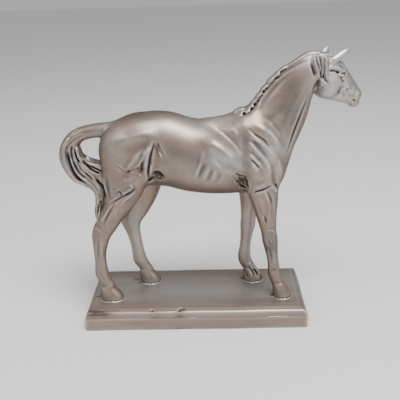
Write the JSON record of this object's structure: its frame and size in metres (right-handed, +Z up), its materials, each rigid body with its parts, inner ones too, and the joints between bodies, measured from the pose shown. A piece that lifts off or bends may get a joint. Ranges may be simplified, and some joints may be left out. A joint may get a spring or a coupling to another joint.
{
  "type": "horse bookend",
  "caption": "Bookend in the form of a standing horse with a turned head and an arched tail, on an oblong stepped plinth that stands flat on a shelf.",
  "frame": {"origin": "centre of the plinth's flat underside", "axes": "+Z up, +X along the plinth towards the horse's head, +Y from the horse's right side to its left side"},
  "size_m": [0.2111, 0.067, 0.1905],
  "materials": {
    "horse": "satin",
    "plinth": "satin"
  },
  "bodies": {
    "root": {"horse": "horse", "plinth": "plinth"}
  },
  "joints": []
}
